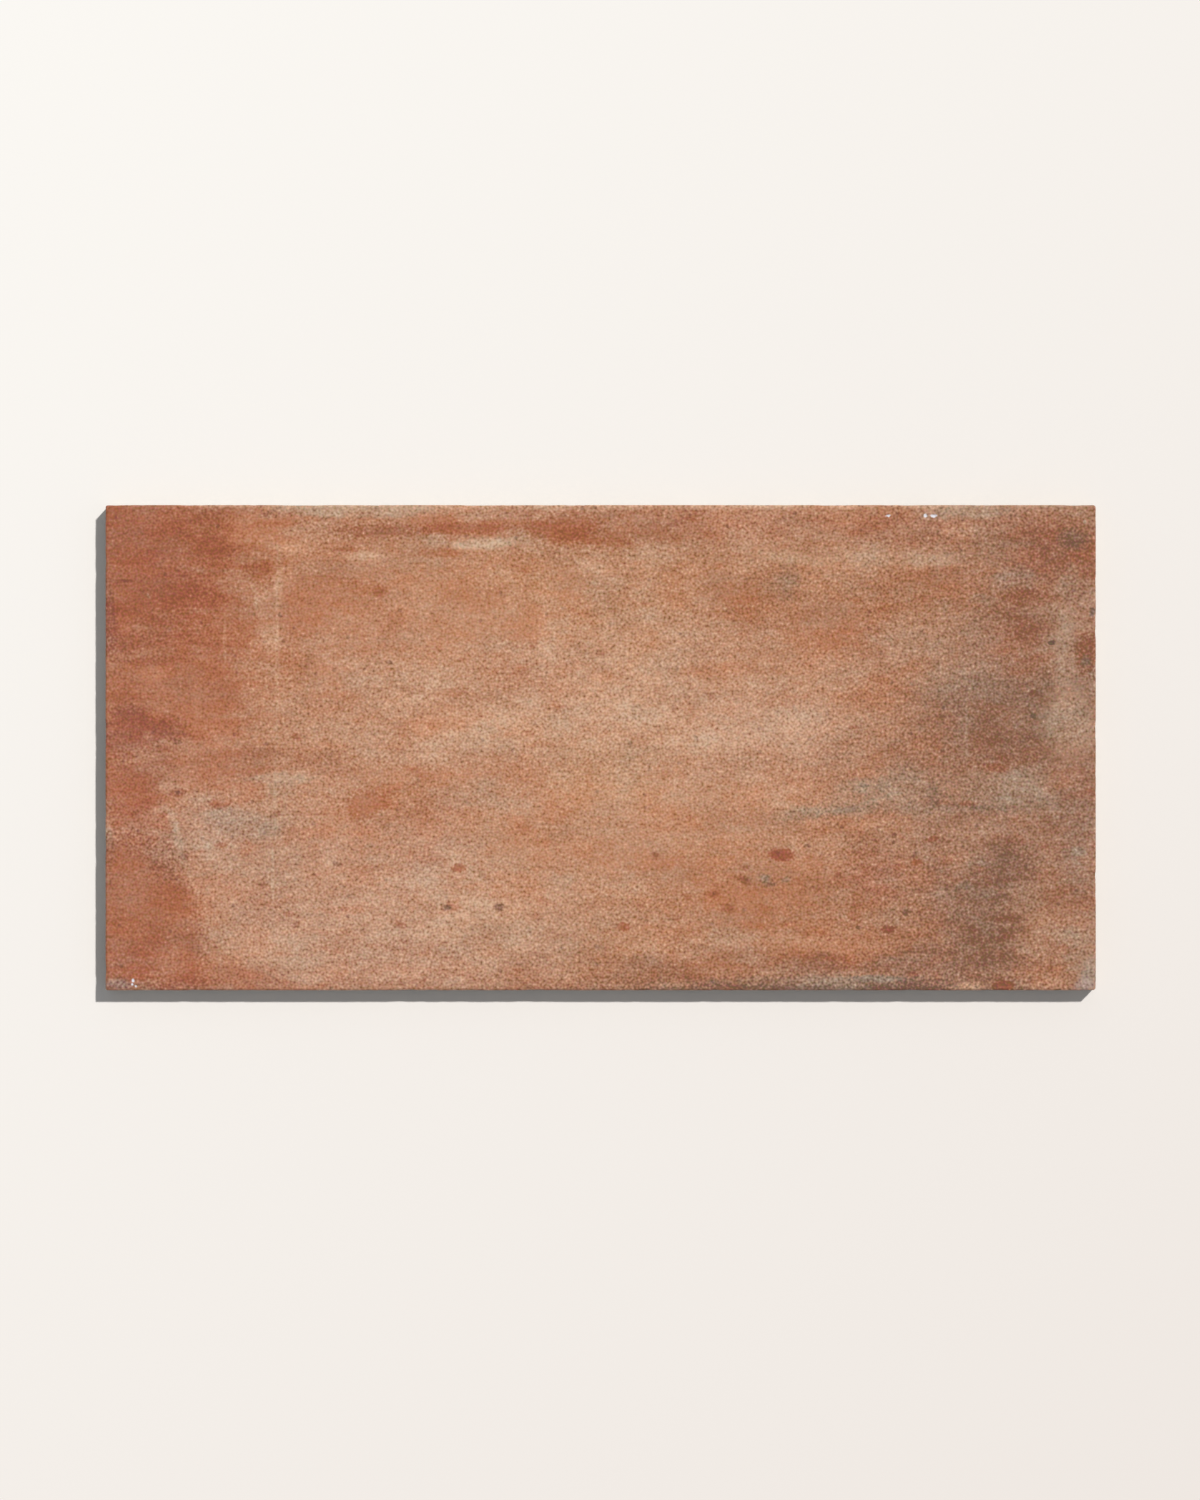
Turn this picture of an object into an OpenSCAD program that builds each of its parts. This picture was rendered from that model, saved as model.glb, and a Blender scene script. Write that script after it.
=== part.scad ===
// Pressed porcelain tile: a dry-pressed slab, fired in one piece.
// The face is up. The origin is the middle of the back, at the height of its bedding plane.
// +X runs along the length and +Z points out of the face.

/* [Tile] */
// Length along X, outside to outside
tile_length = 300; // [200:1:600]
// Width along Y, outside to outside
tile_width = 147; // [90:1:300]
// Thickness from the bedding plane to the face
tile_thickness = 9; // [7:0.5:14]

/* [Edges] */
// Radius where the face turns down into a side
face_edge_radius = 0.7; // [0.4:0.1:2]
// Radius of the four corners, seen from above
corner_radius = 0.8; // [0.3:0.1:3]
// Width of the chamfer between a side and the back
back_chamfer_width = 0.7; // [0.2:0.1:1.5]
// Height of that chamfer
back_chamfer_height = 1.4; // [0.2:0.1:2.5]

/* [Back relief] */
// Flat rim round the keyed field, measured in from the sides
rim_width = 6; // [4:0.5:15]
// Depth of the keying pockets below the bedding plane
key_depth = 0.7; // [0.4:0.1:1.5]
// Width of a rib at its crest, on the bedding plane
rib_crest = 1.8; // [1:0.1:4]
// Draft of the pocket walls, from upright
pocket_draft = 30; // [5:1:45]
// Distance aimed at between two ribs
rib_spacing = 13; // [8:0.5:25]

/* [Hidden] */
$fn = 64;
// Overshoot of a cutting body past the surface that it cuts
overshoot = 1;

// How far a pocket wall leans in over the pocket's depth
draft_run = key_depth * tan(pocket_draft);
// The keyed field inside the rim
field_length = tile_length - 2 * rim_width;
field_width = tile_width - 2 * rim_width;

// Pockets along a field of this size: an even count, so that two ribs cross at the middle
function pocket_count(field) = 2 * max(1, round(field / rib_spacing / 2));

// Section of the slab across one of its spans: chamfered at the back, rounded at the face.
// Its x is across the span and its y is height.
module slab_section(span) {
    half = span / 2;
    arc_height = tile_thickness - face_edge_radius;
    polygon([
        [-half + back_chamfer_width, 0],
        [half - back_chamfer_width, 0],
        [half, back_chamfer_height],
        [half, arc_height],
        [half - face_edge_radius, tile_thickness],
        [-half + face_edge_radius, tile_thickness],
        [-half, arc_height],
        [-half, back_chamfer_height]
    ]);
    for (side = [-1, 1])
        translate([side * (half - face_edge_radius), arc_height])
            circle(r = face_edge_radius);
}

// Outline of the slab from above, with its corners rounded
module slab_outline() {
    square([tile_length - 2 * corner_radius, tile_width], center = true);
    square([tile_length, tile_width - 2 * corner_radius], center = true);
    for (x = [-1, 1], y = [-1, 1])
        translate([x * (tile_length / 2 - corner_radius), y * (tile_width / 2 - corner_radius)])
            circle(r = corner_radius);
}

// A section drawn across Y becomes a bar along X, centred
module bar_along_x(length) {
    rotate([90, 0, 90])
        linear_extrude(length, center = true)
            children();
}

// A section drawn across X becomes a bar along Y, centred
module bar_along_y(length) {
    rotate([90, 0, 0])
        linear_extrude(length, center = true)
            children();
}

// The slab before its back is keyed
module slab() {
    intersection() {
        linear_extrude(tile_thickness)
            slab_outline();
        bar_along_x(tile_length)
            slab_section(tile_width);
        bar_along_y(tile_width)
            slab_section(tile_length);
    }
}

// Section of the recess that the die leaves, drafted so that the tile comes off the punch
module field_section(span) {
    half = span / 2;
    lean = draft_run * overshoot / key_depth;
    polygon([
        [-half - lean, -overshoot],
        [half + lean, -overshoot],
        [half - draft_run, key_depth],
        [-half + draft_run, key_depth]
    ]);
}

// Section of one rib: its crest lies on the bedding plane and its root on the pocket floor
module rib_section() {
    crest = rib_crest / 2;
    root = crest + draft_run;
    polygon([
        [-crest, 0],
        [crest, 0],
        [root, key_depth],
        [root, key_depth + overshoot],
        [-root, key_depth + overshoot],
        [-root, key_depth]
    ]);
}

// The whole recess inside the rim
module keyed_field() {
    intersection() {
        bar_along_x(tile_length)
            field_section(field_width);
        bar_along_y(tile_width)
            field_section(field_length);
    }
}

// Ribs both ways across the field, evenly spaced, with their ends inside the rim
module ribs() {
    columns = pocket_count(field_length);
    rows = pocket_count(field_width);
    column_pitch = field_length / columns;
    row_pitch = field_width / rows;
    for (i = [1 : columns - 1])
        translate([i * column_pitch - field_length / 2, 0, 0])
            bar_along_y(field_width + rim_width)
                rib_section();
    for (j = [1 : rows - 1])
        translate([0, j * row_pitch - field_width / 2, 0])
            bar_along_x(field_length + rim_width)
                rib_section();
}

module tile() {
    color("peru")
        union() {
            difference() {
                slab();
                keyed_field();
            }
            ribs();
        }
}

tile();
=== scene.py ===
"""A pressed porcelain tile with a terracotta-look face, lying face up on a pale studio floor.

The tile is one fired piece. Its face and the rounded face edges are glazed and marked by the fire,
and its sides and its ribbed back are bare clay. The model's own frame is used throughout:
X along the tile, Y across it, Z out of the face, in metres.
"""

import math

import bmesh
import bpy
from mathutils import Matrix, Vector, noise


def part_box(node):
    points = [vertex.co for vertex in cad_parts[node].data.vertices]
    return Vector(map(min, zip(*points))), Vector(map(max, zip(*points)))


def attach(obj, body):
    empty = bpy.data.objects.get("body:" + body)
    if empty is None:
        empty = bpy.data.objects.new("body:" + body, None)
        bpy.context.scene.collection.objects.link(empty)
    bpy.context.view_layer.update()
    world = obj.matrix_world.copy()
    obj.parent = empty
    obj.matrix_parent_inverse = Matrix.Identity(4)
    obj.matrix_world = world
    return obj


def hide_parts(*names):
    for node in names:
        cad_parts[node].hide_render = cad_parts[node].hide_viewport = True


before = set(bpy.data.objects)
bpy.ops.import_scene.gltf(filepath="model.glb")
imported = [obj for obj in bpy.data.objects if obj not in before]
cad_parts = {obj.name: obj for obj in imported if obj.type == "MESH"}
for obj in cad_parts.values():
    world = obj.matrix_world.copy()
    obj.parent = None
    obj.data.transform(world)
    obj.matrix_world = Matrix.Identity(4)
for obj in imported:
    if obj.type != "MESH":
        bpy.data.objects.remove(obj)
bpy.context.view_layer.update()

MM = 0.001
HALF_LENGTH, HALF_WIDTH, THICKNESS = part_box("tile")[1]

# Section of the tile, the same as the solid's
EDGE_RADIUS = 0.7 * MM
CORNER_RADIUS = 0.8 * MM
CHAMFER_WIDTH = 0.7 * MM
CHAMFER_HEIGHT = 1.4 * MM
RIM_WIDTH = 6 * MM
KEY_DEPTH = 0.7 * MM
RIB_CREST = 1.8 * MM
POCKET_DRAFT = math.radians(30)
RIB_SPACING = 13 * MM

# How finely the mesh is made: the grid of the face, where it follows the rounded edge (degrees, from
# nought at the flat of the face), and the heights of the rings down the sides
FACE_STEP = 0.8 * MM
EDGE_TURNS = (0, 18, 36, 54, 72)
SIDE_RINGS = (6.6 * MM, 4.4 * MM, 2.8 * MM, CHAMFER_HEIGHT)
# A cut leaves points alone that lie this near to it, and a test allows this much slack
TOUCHING = 0.0001 * MM
SLACK = 0.01 * MM
# The ribs' crests are softened by this much, and edges that turn more than this look sharp
RIB_SOFTENING = 0.18 * MM
CREASE = math.radians(28)

# How far the relief of the face and the wandering of its edges go
WAVE_DEPTH = 0.16 * MM
RIPPLE_DEPTH = 0.03 * MM
EDGE_WANDER = 0.22 * MM
WANDER_REACH = 3 * MM
# The noise that each is made of: wavelengths in mm and their weights
LONG_WAVES = ((45, 1), (19, 0.5))
RIPPLES = ((4, 1), (1.9, 0.5))
EDGE_WAVES = ((11, 1), (3.3, 0.8), (1.1, 0.5))
FLAKE_BREAKS = ((0.625, 0.35),)

# Height of the face in mm, which the materials measure in, and the depth of the grain's bumps
FACE_HEIGHT = THICKNESS / MM
GRAIN_DEPTH = 0.06 * MM
# Half the height in mm of a mark, more than enough for it to go right through the tile
RIGHT_THROUGH = 1000
# Distance in mm from one burnt grain's place to the next
BURNT_SPACING = 5

# Flakes off the face that show the white clay: x, y, half length, half width and depth, in mm
CHIPS = [
    (87.0, 70.3, 1.0, 0.6, 0.20),
    (98.4, 70.3, 0.9, 0.7, 0.25),
    (100.9, 70.2, 1.3, 0.7, 0.25),
    (-141.6, -70.5, 0.6, 0.7, 0.30),
    (-141.8, -71.7, 0.6, 0.5, 0.25),
    (-140.8, -72.2, 0.7, 0.5, 0.25),
]

# Burnt-out grains that leave a pit: x, y, half length, half width and depth, in mm
PITS = [
    (-128.3, -13.7, 1.8, 1.1, 0.20),
    (-46.5, -48.5, 1.5, 1.1, 0.22),
    (-30.8, -48.3, 1.4, 1.2, 0.22),
    (43.8, -36.3, 1.1, 1.0, 0.15),
    (43.5, -40.2, 1.8, 1.1, 0.18),
    (92.2, -49.8, 1.1, 1.1, 0.15),
    (136.4, 32.0, 1.0, 0.9, 0.20),
    (-66.8, 47.0, 1.7, 1.5, 0.12),
]

# Soft marks of the fire. Each is x, y, half length, half width (mm, to where it is half as strong),
# turn (degrees), soft edge (share of the mark), and the steps that it makes the face paler, redder
# and, where there is a ninth number, yellower.
CLOUDS = [
    # the pale middle and the pale front left
    (-5, 8, 62, 40, 0, 1.6, 16, -1),
    (8, 6, 72, 7, 0, 1.2, 17, -4),
    (5, 23, 14, 8, 0, 1.4, 12, -3),
    (-53, 22, 13, 8, 0, 1.4, 13, -2),
    (-64, -52, 56, 25, 0, 0.6, 21, -5, -1.4),
    # paler and darker clouds all over the face
    (-36, -52, 8, 4, 0, 1.2, 9, 0),
    (-20, 24, 8, 6, 0, 1.2, -7, 0),
    (60, -6, 12, 4, 0, 1.2, -8, 0),
    (48, -22, 14, 4, 0, 1.2, -7, 0),
    (-52, -36, 6, 5, 0, 1.2, -11, 0),
    (-82, -38, 6, 5, 0, 1.2, 6, 0),
    (23, -38, 8, 5, 0, 1.2, -8, 3),
    (-102, 21, 11, 6, 0, 1.2, 9, 0),
    (68, 22, 6, 6, 0, 1.2, 6, 0),
    (-95, -3, 18, 3, 0, 1.2, -6, 0),
    (-22, 51, 7, 5, 0, 1.2, 13, 0),
    (-7, 51, 7, 5, 0, 1.2, -6, 5),
    (-82, 52, 7, 6, 0, 1.2, -10, 0),
    (37, 49, 8, 7, 0, 1.2, -9, 4),
    (-67, 37, 7, 6, 0, 1.2, -8, 0),
    (-22, 37, 7, 6, 0, 1.2, -10, 0),
    (-7, 37, 6, 6, 0, 1.2, 7, 0),
    (36, 36, 20, 6, 0, 1.2, -6, 0),
    (53, 66, 6, 5, 0, 1.2, -2, 0),
    (-42, -51, 22, 6, 0, 1.2, 9, -1),
    (-30, -36, 14, 7, 0, 1.2, 0, 5),
    (-90, -25, 12, 9, 0, 1.2, 9, 0, -0.6),
    (-118, -37, 11, 5, 0, 1.2, 9, -3),
    (-52, -42, 5, 5, 0, 1.2, 10, -1),
    (-55, -9, 14, 4, 0, 1.2, 6, -1),
    (-86, 5, 11, 6, 0, 1.2, 9, 0),
    (-48, 7, 12, 5, 0, 1.2, -6, 3),
    (128, 7, 7, 6, 0, 1.2, 1, 0),
    (128, 22, 6, 6, 0, 1.2, -5, 0),
    (-122, -7, 26, 5, 0, 1.2, -5, 0),
    (30, -22, 28, 5, 0, 1.2, -5, 0),
    (-67, -37, 7, 5, 0, 1.2, 6, 0),
    (-82, 22, 8, 6, 0, 1.2, 0, 4),
    (-120, 51, 12, 6, 0, 1.2, 0, 4),
    (105, -37, 12, 6, 0, 1.2, 0, 4),
    (40, 19, 12, 6, 0, 1.2, 8, -1),
    (54, 17, 8, 14, 0, 1.2, 6, -1),
    (-67, 50, 8, 6, 0, 1.2, -8, 0),
    (-96, 35, 7, 7, 0, 1.2, -5, 0),
    (60, 66, 14, 4, 0, 1.2, -5, 0),
    (-127, -7, 8, 4, 0, 1.2, -8, 0),
    (-82, -7, 8, 3, 0, 1.2, -8, 0),
    (22, -7, 22, 4, 0, 1.2, -10, 0),
    (60, -22, 10, 4, 0, 1.2, -6, 0),
    (-103, -50, 9, 7, 0, 1.2, -12, 0),
    (88, 37, 14, 6, 0, 1.2, 6, 0),
    (82, 66, 6, 5, 0, 1.2, -7, 0),
    (-67, -6, 8, 4, 0, 1.2, 6, 0),
    (-67, -52, 6, 5, 0, 1.2, 5, 0),
    (-127, -24, 6, 5, 0, 1.2, 6, 0),
    (-143, -38, 6, 4, 0, 1.2, 6, 0),
    (128, -51, 6, 7, 0, 1.2, 22, 0),
    (-97, -65, 8, 6, 0, 1.2, 9, 0),
    (-7, -15, 7, 11, 0, 1.2, 6, 0),
    (142, 38, 7, 6, 0, 1.2, 8, 0),
    (58, 12, 12, 10, 0, 1.2, 8, -2),
    (0, 7, 11, 5, 0, 1.2, -12, 3),
    (80, 12, 10, 5, 0, 1.2, 10, 0),
    (-20, 45, 6, 6, 0, 1.2, 7, 0),
    (8, 33, 12, 10, 0, 1.2, 7, -1),
    (-8, 1, 8, 4, 0, 1.2, 8, 0),
    (99, 30, 11, 15, 0, 1.2, 15, -2),
    (85, 22, 12, 8, 0, 1.2, 8, 0),
    (112, 67, 9, 4, 0, 1.2, 10, 4),
    (134, 50, 9, 5, 0, 1.2, 7, -3),
    (82, 50, 6, 5, 0, 1.2, -12, 0),
    # where the clay is yellower or less yellow
    (20, 50, 88, 17, 0, 1.2, 0, 0, 1.1),
    (30, -45, 60, 32, 0, 1.0, 0, 0, 0.8),
    (4, -9, 20, 8, 0, 1.2, 0, 0, 1.3),
    (-33, -50, 14, 24, 0, 1.2, 0, 0, 0.7),
    (83, -38, 9, 8, 0, 1.2, 0, 0, -1.4),
    (36, 67, 28, 7, 0, 1.2, 0, 0, -1.0),
    (128, 58, 9, 12, 0, 1.2, 0, 0, -1.0),
    (-136, -66, 14, 9, 0, 1.2, 0, 0, -1.0),
    (-142, -21, 9, 6, 0, 1.2, 0, 0, -0.9),
    (146, 5, 7, 45, 0, 1.2, 0, 0, -0.7),
    (-52, -22, 8, 7, 0, 1.2, 7, 0, -0.9),
    # the smoked right end and the darker front
    (150, -5, 62, 100, 0, 1.0, -26, -9, 0),
    (121, 8, 22, 12, 0, 1.0, -16, -5, 0),
    (50, 8, 24, 8, 0, 1.2, 0, 0, -1.0),
    (95, 4, 16, 4, 0, 1.2, -3, 4),
    (127, 36, 10, 11, 0, 0.9, -14, 3),
    (138, 59, 12, 12, 0, 1.0, -15, 5),
    (106, 50, 18, 6, 0, 1.0, -9, 8),
    (90, 66, 24, 5, 0, 1.0, -10, 2, -0.6),
    (50, 46, 17, 10, 0, 1.2, -17, 0),
    (72, 38, 14, 7, 0, 1.0, -16, 4),
    (58, -41, 28, 9, 0, 1.2, -15, 4),
    (98, -50, 24, 20, 0, 1.2, -10, 0),
    (40, -48, 10, 6, 0, 1.2, -6, 4),
    (10, -34, 14, 6, 0, 1.2, -11, 4),
    (-50, -32, 14, 4, 0, 1.2, -8, 1),
    (12, -60, 8, 4, 0, 1.2, 9, 0),
    (115, -50, 13, 25, 0, 1.3, -18, -6, 0.1),
    (123.5, -35, 7, 9, 0, 1.2, -15, 0),
    (110, -33, 7, 7, 0, 1.2, 8, 4),
    (117.5, -62, 8, 10, 0, 1.3, -10, 1, 0.4),
    (115, -36, 7, 6, 0, 1.2, 10, 1),
    (50, -54, 22, 4, 0, 1.2, -11, 2),
    (50, -67, 62, 6, 0, 1.2, -27, -2, 0),
    (92, -67, 18, 3, 0, 1.2, 0, -5, -0.6),
    (66, -61, 22, 3, 0, 1.2, 0, 5),
    (67, -66, 8, 5, 0, 1.2, -23, 0),
    (83, -66, 6, 4, 0, 1.2, 6, 0),
    (-54, -67, 36, 6, 0, 1.2, -8, 0),
    (-7, -66, 7, 5, 0, 1.2, 14, 0),
    (-24, -66, 6, 4, 0, 1.2, -8, 0),
    (22, -66, 6, 4, 0, 1.2, -7, 0),
    (-52, -51, 7, 5, 0, 1.2, 8, -3),
    (38, -66, 10, 5, 0, 1.2, 0, 4),
    (138, -61, 13.5, 13, 0, 0.5, 16, 4),
    # the hot left end and the darker back edge
    (-152, 59, 37, 29, 0, 0.7, -41, 3, -0.3),
    (-113, 67, 15, 8, 0, 1.1, -16, 3),
    (-130, 20, 22, 16, 0, 1.0, -24, 3),
    (-114, 43, 11, 13, 0, 1.5, -23, 3),
    (-106, 57, 6, 5, 0, 1.0, -14, 4),
    (-105, 68, 10, 4, 0, 1.0, -4, 4),
    (-96, 69, 7, 3, 0, 1.0, -8, 2),
    (-50, 67, 8, 4, 0, 1.0, -16, 9),
    (-26, 68, 10, 4, 0, 1.2, -8, 5),
    (125, 51, 7, 4, 0, 1.0, 0, -7),
    (-147, 16, 8, 5, 0, 1.0, -12, 0),
    (-145, 31, 9, 3, 0, 1.0, -8, 0),
    (-142, 4, 15, 7, 0, 0.8, -44, 0, -1.2),
    (-127, 47, 8, 6, 0, 1.0, -12, 1),
    (-145, -11, 12, 7, 0, 0.9, -30, 1, -0.6),
    (-140, -22, 9, 5, 0, 1.0, -14, 0),
    (-120, -17, 11, 5, 0, 1.0, 8, -4),
    (-110, -4, 13, 5, 0, 1.0, -16, 2),
    (-152, 5, 46, 80, 0, 0.5, 0, 4, -1.0),
    # patches at the hot end's border
    (-100, 47, 4, 10, 0, 1.2, 8, -1),
    (-102, 33, 4, 7, 0, 1.2, 5, 0),
    (-113, -25, 18, 10, 0, 1.0, 4, -5, -0.7),
    (-138, -29, 9, 4, 0, 1.0, 5, -5, -0.6),
    (-142, -20, 8, 5, 0, 1.0, -10, 0),
    (-96, 62, 11, 4, 0, 1.0, 5, 0),
    # where the ground is warmer or cooler
    (-87, 43, 14, 7, 0, 1.0, -18, 5),
    (-62, 44, 38, 18, 0, 1.0, 0, 4),
    (15, -20, 45, 14, 0, 1.2, 0, 3),
    (-105, 66, 12, 6, 0, 1.0, 0, 4),
    (143, -37, 5, 6, 0, 1.2, 0, -5),
    (145, -65, 5, 7, 0, 1.2, 0, -9),
    (127, -7, 8, 4, 0, 1.2, 0, -4),
    (-25, 37, 14, 6, 0, 1.2, 0, 4),
    (-35, 7, 20, 5, 0, 1.2, 0, 3),
    (-75, -22, 14, 5, 0, 1.2, -4, 3),
    (-128, -24, 7, 5, 0, 1.2, 0, -4),
    (143, 50, 5, 5, 0, 1.2, 0, -4),
    (-38, 45, 9, 5, 0, 1.2, -10, 3),
    (-52, -9, 32, 4, 0, 1.0, -8, 3),
    (-5, 67, 38, 5, 0, 1.0, -14, 3),
]

# Large marks with a clear border, in the same terms
PATCHES = [
    (-150, -62, 30, 36, 0, 0.2, -36, 2),
    (-143, -50, 8, 8, 0, 1.0, 9, 0),
    (-127, -66, 8, 6, 0, 1.0, 19, 0),
    (-127, -52, 5, 6, 0, 1.0, 8, 0),
    (-112, -74, 23, 8.5, 0, 0.5, -21, 3, -0.8),
    (-137, -72.4, 14, 2.4, 0, 0.8, 14, -6),
    (-149.5, 40, 2.5, 12, 0, 1.0, 0, -6),
    (-149.5, -28, 2.5, 12, 0, 1.0, 0, -5),
    (147, 19, 4, 9, 0, 1.2, 6, -6),
    (104, 70.5, 8, 1.5, 0, 1.0, 0, -6),
    (-30, 70.5, 12, 1.6, 0, 1.0, 0, -5),
    (-48, 63, 5, 2, 0, 1.0, 0, -5),
    (96, -18.8, 42, 1.3, 1, 1.0, 0, -6),
    (-132, -33, 6, 7, 0, 1.0, 0, -9, -0.2),
    (-112, -66.5, 9, 4.5, -35, 0.6, -3, 2),
    (-129.7, -21.5, 1.3, 4.0, 15, 0.7, 26, -7),
    (-127.9, -28, 1.3, 4.5, 10, 0.7, 26, -7),
    (-125.6, -36, 1.0, 4.5, 20, 0.8, 14, -2),
    (-121.5, -45, 1.0, 5.5, 22, 0.8, 10, -1),
    (-118, -54.5, 1.0, 5.0, 22, 0.8, 10, -1),
    (-113.5, -61.5, 1.0, 4.5, 42, 0.8, 12, -1),
    (-105, -67, 6.5, 1.0, -24, 0.8, 12, -2),
    (-109, -23.2, 11, 4.8, -6, 0.7, 8, -11, -0.3),
    (-121.5, -28, 5, 3.5, 0, 0.8, 8, -7),
    (-97, -31, 6, 8, 0, 1.4, 0, -4, 0.4),
    (-97, -12.5, 5, 2.5, 0, 1.2, 0, -6, 0.3),
    (144.8, -31.4, 2.2, 1.6, 0, 1.0, 10, -10),
    (142, -22, 10, 8, 0, 1.0, -4, -4),
]

# Fringes along the two long edges, paler at the back and darker at the front, in the same terms
FRINGE = [
    (0, 73.4, 160, 1.2, 0, 0.8, 16, -4),
    (0, 72, 160, 3.0, 0, 1.0, 3, -1),
    (0, -72.2, 160, 2.8, 0, 0.8, -10, -1),
]

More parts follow.
